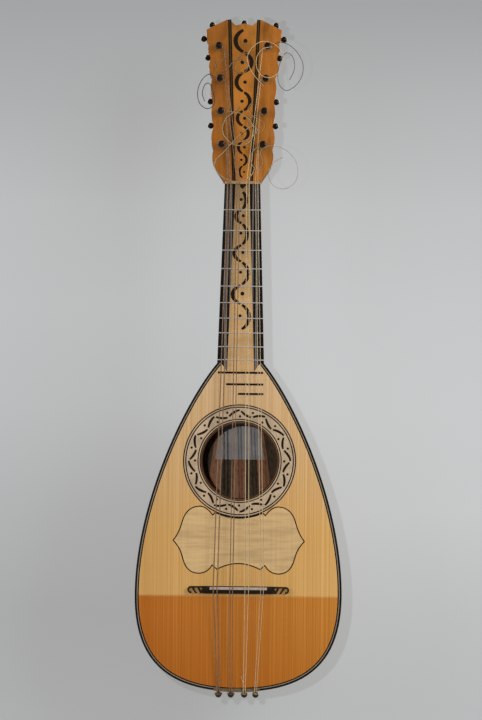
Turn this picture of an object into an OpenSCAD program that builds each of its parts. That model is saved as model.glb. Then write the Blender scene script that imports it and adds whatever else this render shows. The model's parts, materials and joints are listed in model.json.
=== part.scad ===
// Round-backed mandolin with four double courses, a bent soundboard and rear pegs.
// Millimetres. +Z runs up the neck, the soundboard faces -Y and the bowl swells to +Y.
// The origin is the stud at the top of the head, which the instrument hangs from.
// The modules draw in the design frame: y = 0 is the plane of the fingerboard and
// of the upper soundboard, and z = 0 is the upper end of the fingerboard.

/* [Body] */
// Greatest half width of the body
body_half = 88; // [86:0.5:90]
// Distance from the upper end of the fingerboard to the tail
tail_z = 432; // [428:1:436]
// Depth of the bowl behind the soundboard's face
bowl_depth = 126; // [115:1:135]
// Number of ribs in the bowl
rib_count = 23; // [19:2:27]
// Thickness of a rib
rib_t = 1.4; // [1.2:0.1:1.8]
// Thickness of the soundboard
top_t = 2.4; // [2.2:0.1:3]
// Angle by which the soundboard bends back behind the bridge
cant_angle = 10; // [6:0.5:12]
// Radius of the soundhole
hole_r = 31.5; // [29:0.5:32]
// Distance from the fingerboard's upper end to the soundhole's centre
hole_z = 235.5; // [235:0.5:236]

/* [Neck] */
// Half width of the fingerboard at the nut
nut_half = 15.1; // [14.5:0.1:15.5]
// Half width of the fingerboard where the body starts
joint_half = 19.9; // [19:0.1:20]
// Depth of the neck at the nut
neck_depth = 17; // [15:0.5:19]
// String length that spaces the frets
scale_len = 333.2; // [330:0.1:335]
// Distance from the fingerboard's end to the line that the frets are counted from
fret_start = 3.4; // [2:0.1:4]
// How far a metal fret stands above the fingerboard
fret_h = 0.8; // [0.5:0.1:1]

/* [Head] */
// Angle by which the head leans back
head_tilt = 10; // [8:0.5:12]
// Thickness of the head
head_t = 12; // [11:0.5:13]
// Radius of a peg's shaft
peg_r = 2.7; // [2.5:0.05:2.9]
// Radial clearance between a peg and its hole
peg_fit = 0.05; // [0.02:0.01:0.1]
// How far a peg stands in front of the head
peg_front = 11.5; // [10:0.5:13]
// Radius of the ball studs round the head
stud_r = 2.6; // [2.3:0.1:2.8]

/* [Fittings] */
// Height of the strings' bearing edge over the soundboard at the bridge
bridge_h = 6.6; // [5.5:0.1:8]
// Height of the nut over the fingerboard
nut_h = 1.5; // [1.2:0.1:2]
// Radius of the ball on a hitch pin
pin_r = 2.7; // [2.5:0.1:3]

/* [Hidden] */
$fn = 64;

joint_z = -152.5;            // the body starts here
board_end = -159.5;          // the fingerboard's tongue ends here
widest_z = -350;             // widest line, where the soundboard also bends
deepest_z = -335;            // deepest line of the bowl
inlay_t = 0.8;               // depth of every inlaid piece
glue = 0.02;                 // gap left round a glued inlay
band_gap = 0.8;              // the ribs stand in from the binding's edge by this much
liner_in = band_gap + rib_t + 0.6;  // outer face of the liner, in from the outline
liner_w = 4;
liner_h = 6;
heel_depth = 28;             // depth of the ribs behind the soundboard at the neck
stud_s = 140.3;              // the hanging stud's distance up the head
centre_half = [6, 11.5];     // half widths of the fingerboard's light panel

// the outline's two cubic curves, as (half width, height): joint to widest, widest to tail
UPPER = [[joint_half, joint_z], [46, -184], [body_half, -271], [body_half, widest_z]];
LOWER = [[body_half, widest_z], [body_half, -403], [63, -tail_z], [0, -tail_z]];
OUTLINE_STEPS = 24;          // points along each curve of the flat outlines
SHELL_STEPS = 12;            // stations along each curve of the bowl
shell_end = 0.985;           // the ribs stop here on the lower curve
band_end = 0.997;            // the band runs this far

// radii of the rosette's rings, from the hole outwards, dark and light by turns
INNER_RINGS = [33.1, 34, 34.9, 35.8];
OUTER_RINGS = [45.2, 46.2, 47.1, 48.1];
rosette_r = OUTER_RINGS[3];

// binding lines, in from the outline: dark, light, dark
BINDING = [0, 1.7, 2.4, 3.4];

// pegs 1 to 4 run up the left side and 5 to 8 up the right: (across, up) on the head
PEGS = [[-18.3, 32.3], [-19.2, 60.8], [-20.1, 88.7], [-21.4, 116.4],
    [16.9, 32.3], [17.8, 60.8], [18.7, 88.7], [20, 116.4]];
PEG_TURNS = [25, -40, 60, 10, -20, 45, -65, 15];
// strings, one for each peg: across at the nut, at the bridge and at the pins, radius
STRINGS = [[-12.5, -21.4, -16.9, 0.45], [-10.2, -18, -15.1, 0.45],
    [-4.7, -7.2, -6.3, 0.35], [-2.4, -4.8, -4.5, 0.35],
    [13, 21.6, 16.5, 0.22], [10.9, 19.2, 14.7, 0.22],
    [5.8, 8.8, 6.9, 0.27], [3.5, 5.7, 5.1, 0.27]];
PINS = [-16, -5.4, 6, 15.6];
pin_y = 24;                  // the pins' height behind the fingerboard's plane
pin_z = -tail_z - pin_r + 0.1;
winding_at = 2.2;            // the lowest turn's height over the head's face
winding_turns = 4;
string_gap = 0.35;           // a string stops this far short of its turning peg's winding

// studs round the head, (across, up), as pairs left and right of the centre
STUDS = [[27.2, 136.5], [34.2, 124.6], [30.4, 108.5], [28, 71.1], [27.5, 50.5]];

// the free ends of the strings: (across, depth, up), from the peg to the loose end
TAILS = [
    [[-13, -2, 33], [-6, -3, 35], [2, -5, 37], [9, -7, 41], [12, -8, 46], [8, -8, 49],
        [0, -8, 44], [-8, -7, 36], [-16, -6, 27], [-22, -6, 21], [-24, -6, 15],
        [-21, -7, 9], [-16, -7, 5], [-8, -8, 2], [2, -8, 3], [8, -8, 8], [10, -8, 14]],
    [[-14, 2, 62], [-9, 0, 61], [-3, -2, 60], [4, -4, 56], [8, -5, 50],
        [9, -5, 43], [6, -6, 36], [0, -6, 33], [-7, -5, 33], [-13, -4, 37],
        [-17, -4, 43], [-17, -5, 50], [-14, -6, 56], [-9, -7, 60], [-4, -7, 65]],
    [[-25, 6, 90], [-29, 5, 93], [-34, 4, 90], [-38, 4, 83], [-39, 4, 75],
        [-37, 3, 68], [-32, 3, 64], [-27, 3, 65], [-25, 3, 70], [-26, 3, 78],
        [-29, 3, 85], [-33, 4, 84], [-35, 4, 77], [-33, 4, 70]],
    [[-17, 11, 113], [-13, 10, 110], [-16, 9, 106], [-22, 8, 104], [-24, 8, 99],
        [-19, 8, 96], [-13, 8, 99], [-9, 8, 104], [-3, 8, 106], [3, 8, 102],
        [2, 7, 96], [-4, 7, 94], [-9, 7, 97], [-8, 7, 103], [-2, 7, 110], [6, 7, 111]],
    [[12, -2, 31], [8, -4, 27], [7, -5, 20], [10, -6, 13], [15, -6, 13],
        [17, -6, 20], [15, -6, 27], [20, -6, 32], [29, -5, 32], [38, -4, 28],
        [45, -3, 20], [47, -2, 9], [43, -2, 0], [34, -3, -4], [25, -4, 0],
        [22, -5, 9], [26, -5, 18], [34, -5, 23]],
    [[13, 2, 59], [8, 1, 57], [4, 0, 52], [6, 0, 46], [12, 0, 43],
        [17, 0, 46], [18, 0, 51], [14, -2, 55], [8, -2, 58], [4, -1, 64],
        [8, 0, 70]],
    [[17, 7, 84], [11, 5, 90], [5, 4, 99], [3, 4, 108], [7, 5, 116],
        [14, 6, 121], [22, 7, 121], [30, 8, 116], [34, 8, 107], [31, 7, 97],
        [24, 3, 91], [16, 2, 92], [11, 2, 99], [11, 3, 108], [16, 4, 115],
        [24, 5, 117]],
    [[24, 13, 118], [30, 12, 121], [38, 12, 119], [45, 12, 113], [50, 12, 104],
        [50, 12, 94], [45, 12, 85], [37, 11, 80], [31, 10, 84], [29, 10, 93],
        [31, 10, 104], [36, 10, 112], [42, 10, 108], [43, 10, 98], [39, 10, 89]]];

// ---------------------------------------------------------------- curves and frames

function cubic(p, t) = pow(1 - t, 3) * p[0] + 3 * pow(1 - t, 2) * t * p[1]
    + 3 * (1 - t) * t * t * p[2] + pow(t, 3) * p[3];
function curve(p, n) = [for (i = [0:n]) cubic(p, i / n)];
function unit(v) = v / norm(v);
function mirrored(points) = [for (i = [len(points) - 1:-1:0]) [-points[i][0], points[i][1]]];
function lerp(a, b, t) = a + (b - a) * t;

// how far the soundboard's face has bent back at height z
function bend(z) = max(0, widest_z - z) * tan(cant_angle);

// a point given on the leaning head, in the design frame
function on_head(p) = [p[0], p[1] * cos(head_tilt) + p[2] * sin(head_tilt),
    -p[1] * sin(head_tilt) + p[2] * cos(head_tilt)];
function up_head(z) = z / cos(head_tilt);
hanging = on_head([0, head_t / 2, stud_s]);

module in_frame() {
    translate(-hanging) children();
}

module leaning() {
    rotate([-head_tilt, 0, 0]) children();
}

// a flat shape in X and Z, made solid from y0 to y1
module plate(y0, y1) {
    translate([0, y1, 0]) rotate([90, 0, 0]) linear_extrude(y1 - y0) children();
}

// everything between two depths under the soundboard's bent face
module bent_slab(y0, y1) {
    reach = 100;
    far = widest_z - reach;
    translate([-reach, 0, 0]) rotate([90, 0, 90]) linear_extrude(2 * reach)
        polygon([[y0, 20], [y0, widest_z], [y0 + bend(far), far],
            [y1 + bend(far), far], [y1, widest_z], [y1, 20]]);
}

// a round tube of 8 sides along points; side is a direction the route never takes
module tube(points, r, side) {
    sides = 8;
    last = len(points) - 1;
    along = [for (i = [0:last]) unit(points[min(i + 1, last)] - points[max(i - 1, 0)])];
    rings = [for (i = [0:last])
        let (a = unit(cross(along[i], side)), b = cross(along[i], a))
        for (k = [0:sides - 1]) points[i] + r * (a * cos(360 * k / sides) + b * sin(360 * k / sides))];
    walls = [for (i = [0:last - 1], k = [0:sides - 1])
        let (a = i * sides + k, b = i * sides + (k + 1) % sides)
        each [[a, b + sides, b], [a, a + sides, b + sides]]];
    start = [for (k = [0:sides - 1]) k];
    end = [for (k = [sides - 1:-1:0]) last * sides + k];
    polyhedron(rings, concat(walls, [start, end]));
}

// one point of a smooth curve through p0 and p1
function through(before, p0, p1, after, t) = 0.5 * (2 * p0 + (p1 - before) * t
    + (2 * before - 5 * p0 + 4 * p1 - after) * t * t
    + (3 * p0 - before - 3 * p1 + after) * t * t * t);
function smooth(points, parts) = let (last = len(points) - 1) concat(
    [for (i = [0:last - 1], k = [0:parts - 1])
        through(points[max(i - 1, 0)], points[i], points[i + 1], points[min(i + 2, last)], k / parts)],
    [points[last]]);

// ---------------------------------------------------------------- outlines

// the right side of the outline, with one point above the joint so that cuts run out
HALF = let (upper = curve(UPPER, OUTLINE_STEPS), lower = curve(LOWER, OUTLINE_STEPS))
    concat([2 * upper[0] - upper[2]], upper, [for (i = [1:OUTLINE_STEPS]) lower[i]]);

// the same side moved inwards by d
function inset_half(d) = [for (i = [0:len(HALF) - 1])
    let (a = HALF[max(i - 1, 0)], b = HALF[min(i + 1, len(HALF) - 1)], t = unit(b - a))
    i == len(HALF) - 1 ? [0, HALF[i][1] + d] : HALF[i] + d * [t[1], -t[0]]];
function whole(half) = concat(half, [for (i = [len(half) - 2:-1:0]) [-half[i][0], half[i][1]]]);

module body_outline(d) {
    intersection() {
        polygon(whole(inset_half(d)));
        translate([-120, -460]) square([240, 460 + joint_z]);
    }
}

module fingerboard_outline() {
    polygon([[-nut_half, 0], [nut_half, 0], [joint_half, joint_z], [16.5, joint_z],
        [centre_half[1], board_end], [-centre_half[1], board_end], [-16.5, joint_z],
        [-joint_half, joint_z]]);
}

module centre_outline() {
    polygon([[-centre_half[0], 0], [centre_half[0], 0], [centre_half[1], board_end],
        [-centre_half[1], board_end]]);
}

module guard_outline(gap) {
    intersection() {
        body_outline(-0.4);
        translate([-20 - gap, -tail_z - 3]) square([39 + 2 * gap, 5.8 + gap]);
    }
}

module ring(r0, r1) {
    translate([0, -hole_z]) difference() {
        circle(r1);
        circle(r0);
    }
}

// the scratchplate's right half: two lobes with a point between them
SCRATCH_RIGHT = concat([[20, -278.6]],
    curve([[22.3, -281], [26, -275.8], [30, -273.6], [34, -273.8]], 6),
    curve([[34, -273.8], [42, -274.2], [46.5, -279.5], [48.6, -287]], 6),
    curve([[48.6, -287], [50.3, -293], [52, -298], [56.4, -303.5]], 5),
    curve([[56.4, -303.5], [51.5, -308.5], [49.6, -312.5], [48, -318.5]], 5),
    curve([[48, -318.5], [46, -327], [41.5, -331.8], [34, -331.8]], 6),
    curve([[34, -331.8], [29, -331.8], [25, -329.5], [22.3, -324.9]], 5),
    curve([[18.4, -328.3], [12.5, -325], [6, -323.2], [0, -323.2]], 6));

module scratch_outline() {
    difference() {
        polygon(whole(SCRATCH_RIGHT));
        translate([0, -hole_z]) circle(rosette_r + glue);
    }
}

// one crescent between two heights, bulging to one side of the centre line
function crescent(side, reach, z0, z1, thick) = let (n = 10,
    middle = [for (i = [0:n]) let (s = lerp(0.03, 0.97, i / n))
        [side * reach * sin(180 * s), lerp(z0, z1, s - 0.05 * sin(360 * s))]],
    half = [for (i = [0:n]) thick / 2 * (0.6 + 0.4 * sin(180 * i / n))],
    off = [for (i = [0:n]) let (t = unit(middle[min(i + 1, n)] - middle[max(i - 1, 0)]))
        half[i] * [t[1], -t[0]]])
    concat([for (i = [0:n]) middle[i] + off[i]], [for (i = [n:-1:0]) middle[i] - off[i]]);

module dot(p, r) {
    translate(p) circle(r, $fn = 12);
}

// ---------------------------------------------------------------- bowl

// heights and half widths of the stations, and the directions that face outwards there
function station(u) = u <= 1 ? cubic(UPPER, u) : cubic(LOWER, u - 1);
function stations(end) = [for (i = [0:2 * SHELL_STEPS]) min(i / SHELL_STEPS, 1 + end)];
function back_y(z) = z > deepest_z
    ? let (t = (z - joint_z) / (deepest_z - joint_z))
        top_t + heel_depth + (bowl_depth - top_t - heel_depth) * (1 - pow(1 - t, 1.9))
    : let (s = min(1, (deepest_z - z) / (tail_z + deepest_z)), rim = top_t + bend(-tail_z))
        rim + (bowl_depth - rim) * sqrt(1 - s * s);
function outline_normal(u) = let (e = 0.01, a = station(max(0, u - e)), b = station(min(2, u + e)),
    t = unit(b - a)) [-t[1], t[0]];
function back_normal(u) = let (e = 0.01, a = station(max(0, u - e))[1], b = station(min(1.999, u + e))[1],
    t = unit([back_y(b) - back_y(a), b - a])) [-t[1], t[0]];
// angle round the section of rib edge v, spaced so that the ribs come out equally wide
function round_angle(v) = let (a = 180 * v / rib_count) a - 5 * sin(2 * a);

// a point of the bowl: station u, rib edge v, and how far in from the outer surface
function bowl_point(u, v, inwards) = let (
    s = station(u), w = s[0], z = s[1], d = back_y(z) - top_t - bend(z),
    a = round_angle(v), c = cos(a), n = outline_normal(u), m = back_normal(u),
    facing = unit([c * n[0], sin(a) * m[0], c * c * n[1] + sin(a) * sin(a) * m[1]]),
    z_in = z - inwards * facing[2])
    [w * c - inwards * facing[0],
     top_t + bend(z_in) + max(0, d * sin(a) - inwards * facing[1]), z_in];

// a closed shell between two layers of points, each of rows times cols
module layered(points, rows, cols) {
    count = rows * cols;
    function at(i, j, layer) = layer * count + i * cols + j;
    skins = [for (i = [0:rows - 2], j = [0:cols - 2]) each [
        [at(i, j, 0), at(i, j + 1, 0), at(i + 1, j + 1, 0)],
        [at(i, j, 0), at(i + 1, j + 1, 0), at(i + 1, j, 0)],
        [at(i, j, 1), at(i + 1, j + 1, 1), at(i, j + 1, 1)],
        [at(i, j, 1), at(i + 1, j, 1), at(i + 1, j + 1, 1)]]];
    sides = [for (i = [0:rows - 2]) each [
        [at(i, 0, 0), at(i + 1, 0, 0), at(i + 1, 0, 1)],
        [at(i, 0, 0), at(i + 1, 0, 1), at(i, 0, 1)],
        [at(i, cols - 1, 0), at(i + 1, cols - 1, 1), at(i + 1, cols - 1, 0)],
        [at(i, cols - 1, 0), at(i, cols - 1, 1), at(i + 1, cols - 1, 1)]]];
    ends = [for (j = [0:cols - 2]) each [
        [at(0, j, 0), at(0, j + 1, 1), at(0, j + 1, 0)],
        [at(0, j, 0), at(0, j, 1), at(0, j + 1, 1)],
        [at(rows - 1, j, 0), at(rows - 1, j + 1, 0), at(rows - 1, j + 1, 1)],
        [at(rows - 1, j, 0), at(rows - 1, j + 1, 1), at(rows - 1, j, 1)]]];
    polyhedron(points, concat(skins, sides, ends));
}

// a shell of the bowl between two depths, over stations us and rib edges vs
module shell(us, vs, outer, inner) {
    layered([for (inwards = [outer, inner], u = us, v = vs) bowl_point(u, v, inwards)],
        len(us), len(vs));
}

// a closed solid with a flat front: rows of points from the left rim round to the right
module trough(points, rows, cols) {
    function at(i, j) = i * cols + j;
    skin = [for (i = [0:rows - 2], j = [0:cols - 2]) each [
        [at(i, j), at(i, j + 1), at(i + 1, j + 1)], [at(i, j), at(i + 1, j + 1), at(i + 1, j)]]];
    face = [for (i = [0:rows - 2]) each [
        [at(i, 0), at(i + 1, 0), at(i + 1, cols - 1)], [at(i, 0), at(i + 1, cols - 1), at(i, cols - 1)]]];
    caps = [for (j = [1:cols - 2]) each [
        [at(0, 0), at(0, j + 1), at(0, j)], [at(rows - 1, 0), at(rows - 1, j), at(rows - 1, j + 1)]]];
    polyhedron(points, concat(skin, face, caps));
}

// a solid that fills the bowl over stations us, set in from its outer surface
module bowl_fill(us, inwards) {
    trough([for (u = us, v = [0:rib_count]) bowl_point(u, v, inwards)], len(us), rib_count + 1);
}

module ribs(first) {
    for (i = [first:2:rib_count - 1])
        shell(stations(shell_end), [i, i + 1], band_gap, band_gap + rib_t);
}

module bowl_ribs_dark() {
    color("#3f372b") in_frame() ribs(0);
}

module bowl_ribs_brown() {
    color("#644837") in_frame() ribs(1);
}

// one side of the capping strip round the lower rim, deepest at the tail
module half_band() {
    us = concat([for (i = [9:2 * SHELL_STEPS - 1]) i / SHELL_STEPS], [1 + shell_end, 1 + band_end]);
    parts = 6;
    angles = [for (u = us) let (z = station(u)[1], d = back_y(z) - top_t - bend(z),
        depth = lerp(9, 27, pow((u - us[0]) / (2 - us[0]), 2))) asin(min(1, depth / d))];
    // each angle turned into a count of ribs
    turns = [for (a = angles) rib_count * (a + 5 * sin(1.85 * a) * (1 - a / 90)) / 180];
    points = [for (inwards = [0, band_gap - 0.25], i = [0:len(us) - 1], j = [0:parts])
        bowl_point(us[i], turns[i] * j / parts, inwards)];
    layered([for (p = points) [max(0, p[0]), p[1], p[2]]], len(us), parts + 1);
}

module rim_band() {
    color("#4a3a2a") in_frame() {
        half_band();
        mirror([1, 0, 0]) half_band();
    }
}

module neck_block() {
    color("#b98d5c") in_frame() bowl_fill([0.02, 1 / 12, 2 / 12, 3 / 12], liner_in - 0.2);
}

module tail_block() {
    color("#b98d5c") in_frame() intersection() {
        bowl_fill([1.6, 1.7, 1.8, 1.9, 1 + shell_end], liner_in - 0.2);
        translate([-36, 0, -tail_z]) cube([72, 50, 15]);
    }
}

module braces() {
    color("#cfa873") in_frame() for (z = [-192, -293, -376]) {
        half = braced_half(z) - liner_in - liner_w - 1.5;
        translate([-half, bend(z) + top_t + 0.8, z]) rotate([z < widest_z ? cant_angle : 0, 0, 0])
            translate([0, -0.65, -3]) cube([2 * half, 9, 6]);
    }
}
// the outline's half width at a height, read off its own points
function braced_half(z) = min([for (i = [0:len(HALF) - 2])
    if ((HALF[i][1] - z + 4) * (HALF[i + 1][1] - z - 4) <= 0) min(HALF[i][0], HALF[i + 1][0])]);

module rim_liner() {
    color("#b98d5c") in_frame() intersection() {
        bent_slab(top_t + 0.05, top_t + liner_h);
        plate(-1, 40) intersection() {
            difference() {
                body_outline(liner_in);
                body_outline(liner_in + liner_w);
            }
            translate([-120, -415]) square([240, 215]);
        }
    }
}

// the paper label, glued inside the bowl behind the upper half of the soundhole
module label() {
    middle = rib_count / 2;
    color("#8c8784") in_frame()
        shell([4 / SHELL_STEPS, 5 / SHELL_STEPS, 6 / SHELL_STEPS],
            [middle - 2.2, middle - 1.5, middle - 0.5, middle + 0.5, middle + 1.5, middle + 2.2],
            band_gap + rib_t + 0.45, band_gap + rib_t + 0.7);
}

// ---------------------------------------------------------------- soundboard and its inlays

module soundhole() {
    translate([0, 20, -hole_z]) rotate([90, 0, 0]) cylinder(h = 40, r = hole_r);
}

module soundboard() {
    color("#c99d69") in_frame() difference() {
        intersection() {
            bent_slab(0, top_t);
            plate(-1, 40) difference() {
                body_outline(BINDING[3] + glue);
                fingerboard_outline();
                guard_outline(glue);
            }
        }
        soundhole();
        plate(-1, inlay_t) {
            ring(INNER_RINGS[0] - glue, rosette_r + glue);
            scratch_outline();
        }
        top_fret_bars(glue, inlay_t);
    }
}

module rosette_dark_rings() {
    color("#1d1612") in_frame() plate(0, inlay_t - glue) {
        for (i = [0, 2]) {
            ring(INNER_RINGS[i], INNER_RINGS[i + 1]);
            ring(OUTER_RINGS[i], OUTER_RINGS[i + 1]);
        }
    }
}

module rosette_light_rings() {
    color("#d8c193") in_frame() plate(0, inlay_t - glue) {
        ring(INNER_RINGS[1], INNER_RINGS[2]);
        ring(OUTER_RINGS[1], OUTER_RINGS[2]);
        difference() {
            ring(INNER_RINGS[3], OUTER_RINGS[0]);
            rosette_marks();
        }
    }
}

// twelve waves round the rosette, each of two separate strokes, and a dot in each bend
WAVES = 12;
CREST_R = 43.3;
TROUGH_R = 38.2;
function wave_r(s) = s < 0.5 ? lerp(CREST_R, TROUGH_R, pow(2 * s, 1.5))
    : lerp(TROUGH_R, CREST_R, pow(2 * s - 1, 2.4));
function stroke(from, to) = let (n = 6,
    middle = [for (i = [0:n]) let (s = lerp(from, to, i / n), a = 360 / WAVES * s)
        wave_r(s) * [cos(a), sin(a)]],
    off = [for (i = [0:n]) let (t = unit(middle[min(i + 1, n)] - middle[max(i - 1, 0)]))
        (0.75 + 0.3 * sin(180 * i / n)) * [t[1], -t[0]]])
    concat([for (i = [0:n]) middle[i] + off[i]], [for (i = [n:-1:0]) middle[i] - off[i]]);

module rosette_marks() {
    translate([0, -hole_z]) for (k = [0:WAVES - 1]) rotate(360 / WAVES * k) {
        polygon(stroke(0.01, 0.46));
        polygon(stroke(0.53, 0.96));
        dot([37.9, 0], 1.05);
        rotate(180 / WAVES) dot([42.3, 0], 1.05);
    }
}

module rosette_wave() {
    color("#2c1a12") in_frame() plate(0, inlay_t - glue) rosette_marks();
}

module scratchplate() {
    color("#c9a574") in_frame() plate(0, inlay_t - glue) offset(delta = -1) scratch_outline();
}

module scratchplate_line() {
    color("#2c1a12") in_frame() plate(0, inlay_t - glue) difference() {
        offset(delta = -0.05) scratch_outline();
        offset(delta = -0.95) scratch_outline();
    }
}

module binding_lines(i) {
    difference() {
        body_outline(BINDING[i]);
        body_outline(BINDING[i + 1]);
        guard_outline(glue);
    }
}

module binding_dark() {
    color("#17130f") in_frame() intersection() {
        bent_slab(0, top_t);
        plate(-1, 40) {
            binding_lines(0);
            binding_lines(2);
        }
    }
}

module binding_light() {
    color("#b9a58b") in_frame() intersection() {
        bent_slab(0, top_t);
        plate(-1, 40) binding_lines(1);
    }
}

// the bone strip that the strings bend over at the tail
module edge_guard() {
    color("#a79b7d") in_frame() intersection() {
        bent_slab(-0.5, top_t);
        plate(-5, 60) guard_outline(0);
    }
}

// ---------------------------------------------------------------- neck and fingerboard

function board_half(z) = lerp(nut_half, joint_half, z / joint_z);
function neck_back(z) = neck_depth + 5 * z / joint_z
    + (heel_depth + top_t - neck_depth - 5) * pow(max(0, (z + 105) / (joint_z + 105)), 2);

module neck() {
    heights = concat([0], [for (i = [1:5]) -21 * i], [for (i = [1:6]) lerp(-105, joint_z, i / 6)]);
    around = 16;
    color("#7a4a2a") in_frame() trough([for (z = heights, k = [0:around]) let (a = 180 * k / around)
        [board_half(z) * cos(a), top_t + (neck_back(z) - top_t) * pow(sin(a), 0.85), z]],
        len(heights), around + 1);
}

function fret_z(n) = -fret_start - scale_len * (1 - pow(2, -n / 12));
METAL_FRETS = 10;

module fret_slots() {
    for (n = [1:METAL_FRETS]) translate([-20, -1, fret_z(n) - 0.3]) cube([40, 2.5, 0.6]);
}

module fingerboard_centre() {
    color("#c79e72") in_frame() difference() {
        plate(0, top_t) centre_outline();
        plate(-1, inlay_t) board_marks();
        fret_slots();
    }
}

module fingerboard_edges() {
    color("#3b3632") in_frame() difference() {
        plate(0, top_t) difference() {
            fingerboard_outline();
            centre_outline();
        }
        fret_slots();
    }
}

// crescents down the fingerboard, left and right by turns, each with a dot in its bend: the heights
// where they meet, from the nut down
BOARD_BENDS = [-6.5, -21.5, -33.8, -51.7, -66.3, -85.8, -102.3, -124];

module board_marks() {
    translate([0, 0.1]) polygon([[-3.6, -0.3], [3.6, -0.3], [0.6, -4.2], [-0.6, -4.2]]);
    for (n = [1:len(BOARD_BENDS) - 1]) {
        side = n % 2 == 1 ? 1 : -1;
        reach = 2.6 + 0.6 * n + (side < 0 ? 1.3 : 0);
        high = BOARD_BENDS[n - 1];
        low = BOARD_BENDS[n];
        polygon(crescent(side, reach, high, low, 3.3));
        dot([-side * 0.9, lerp(high, low, 0.45)], n == 6 ? 1.7 : 1.35);
    }
}

module fingerboard_wave() {
    color("#2c1a12") in_frame() difference() {
        plate(0, inlay_t - glue) board_marks();
        fret_slots();
    }
}

module frets() {
    color("silver") in_frame() for (n = [1:METAL_FRETS]) {
        z = fret_z(n);
        half = board_half(z);
        translate([-half, -fret_h, z - 0.5]) cube([2 * half, fret_h, 1]);
        translate([-half, -0.1, z - 0.28]) cube([2 * half, 1.4, 0.56]);
    }
}

// wooden frets let into the soundboard past the metal ones: number, left end, right end, rise
TOP_FRETS = [[11, -19.2, 19.2, 0], [12, -12.1, 19.4, 0], [13, -2, 19.6, 1.2]];

module top_fret_bars(gap, depth) {
    for (f = TOP_FRETS) translate([f[1] - gap, -fret_h * 0.6, fret_z(f[0]) + f[3] - 1.2 - gap])
        cube([f[2] - f[1] + 2 * gap, depth + fret_h * 0.6, 1.7 + 2 * gap]);
}

module top_frets() {
    color("#2c1a12") in_frame() top_fret_bars(0, inlay_t - glue);
}

// ---------------------------------------------------------------- head, nut and pegs

HEAD_RIGHT = [for (p = concat(
    curve([[nut_half + 0.2, 0], [15.5, 6], [30, 16], [25, 28.9]], 10),
    lobe([25, 28.9], [24.9, 49.3], 2.05), lobe([24.9, 49.3], [25.9, 70.1], 1.7),
    lobe([25.9, 70.1], [26.8, 90.1], 1.55), lobe([26.8, 90.1], [28.1, 107.5], 2.1),
    lobe([28.1, 107.5], [29.9, 119], 1.4),
    [[31.4, 122.5], [32.1, 131.3], [27.6, 133.8], [14.9, 140], [12.6, 140], [7, 135.2]],
    lobe([7, 135.2], [0, 136.9], 0.4))) [p[0], up_head(p[1])]];
function lobe(a, b, swell) = [for (i = [1:6]) lerp(a, b, i / 6) + [swell * sin(180 * i / 6), 0]];

// two dark lines that close in towards the nut
module stripes(gap) {
    for (side = [-1, 1]) polygon([for (p = [[7.4, 2.6], [12.4, 140.2]], w = [-1, 1])
        [side * p[0] + w * (p[1] > 50 ? 1 : -1) * (1.45 + gap), up_head(p[1])]]);
}

// the wave up the head: heights where its crescents meet, from the nut up
HEAD_BENDS = [5, 15.5, 25.5, 37, 49.3, 62.5, 78.5, 95.2, 112.3, 131.8];

module head_marks() {
    last = len(HEAD_BENDS) - 1;
    for (n = [1:last]) {
        side = n % 2 == 0 ? 1 : -1;
        low = HEAD_BENDS[n - 1];
        high = HEAD_BENDS[n];
        grown = (n - 1) / (last - 1);
        polygon([for (p = crescent(side, lerp(2.7, 7.2, grown), low, high, lerp(2.1, 3.9, grown)))
            [p[0], up_head(p[1])]]);
        dot([-side * 1.2, up_head((low + high) / 2)], lerp(1, 1.8, grown));
    }
}

module head() {
    color("#a8692f") in_frame() difference() {
        leaning() difference() {
            plate(0, head_t) polygon(whole(HEAD_RIGHT));
            plate(-1, inlay_t) {
                stripes(glue);
                head_marks();
            }
            for (p = PEGS) translate([p[0], head_t + 1, up_head(p[1])]) rotate([90, 0, 0])
                cylinder(h = head_t + 2, r = peg_r + peg_fit);
        }
        translate([-40, -5, -20]) cube([80, 30, 20]);
        translate([-nut_half - 0.5, -5, -1]) cube([2 * nut_half + 1, 5 + top_t, 3.55]);
    }
}

module head_stripes() {
    color("#241c12") in_frame() leaning() plate(0, inlay_t - glue) stripes(0);
}

module head_wave() {
    color("#2c1a12") in_frame() leaning() plate(0, inlay_t - glue) head_marks();
}

// a turned ball with a shank that is driven into the edge of the head
module stud(angle) {
    rotate([0, angle, 0]) {
        sphere(stud_r, $fn = 32);
        mirror([0, 0, 1]) cylinder(h = 6, r = 1);
    }
}

module head_studs() {
    color("#15110e") in_frame() leaning() {
        translate([0, head_t / 2, stud_s]) stud(0);
        for (side = [-1, 1], i = [0:len(STUDS) - 1])
            translate([side * STUDS[i][0], head_t / 2, up_head(STUDS[i][1])])
                stud(side * (i == 0 ? 25 : 90));
    }
}

module nut() {
    color("#d9cfba") in_frame() plate_across([[top_t, 0.02], [top_t, 2.5], [-0.7, 2.5], [-nut_h, 1.4],
        [-nut_h, 0.02]], nut_half);
}

// a profile in Y and Z, made solid from -half to half across
module plate_across(profile, half) {
    translate([-half, 0, 0]) rotate([90, 0, 90]) linear_extrude(2 * half) polygon(profile);
}

collar_y = head_t + 0.4;     // the peg's collar starts here, just clear of the head
collar_t = 2;
grip_t = 3.6;

module peg(i) {
    p = PEGS[i - 1];
    color("#241a14") in_frame() leaning() translate([p[0], 0, up_head(p[1])]) {
        translate([0, collar_y, 0]) rotate([90, 0, 0]) cylinder(h = collar_y + peg_front - 0.8, r = peg_r);
        translate([0, -peg_front + 0.8, 0]) rotate([90, 0, 0]) cylinder(h = 0.8, r = peg_r - 0.5);
        translate([0, collar_y + collar_t, 0]) rotate([90, 0, 0]) cylinder(h = collar_t, r = 4.2);
        rotate([0, PEG_TURNS[i - 1], 0]) grip();
    }
}

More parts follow.
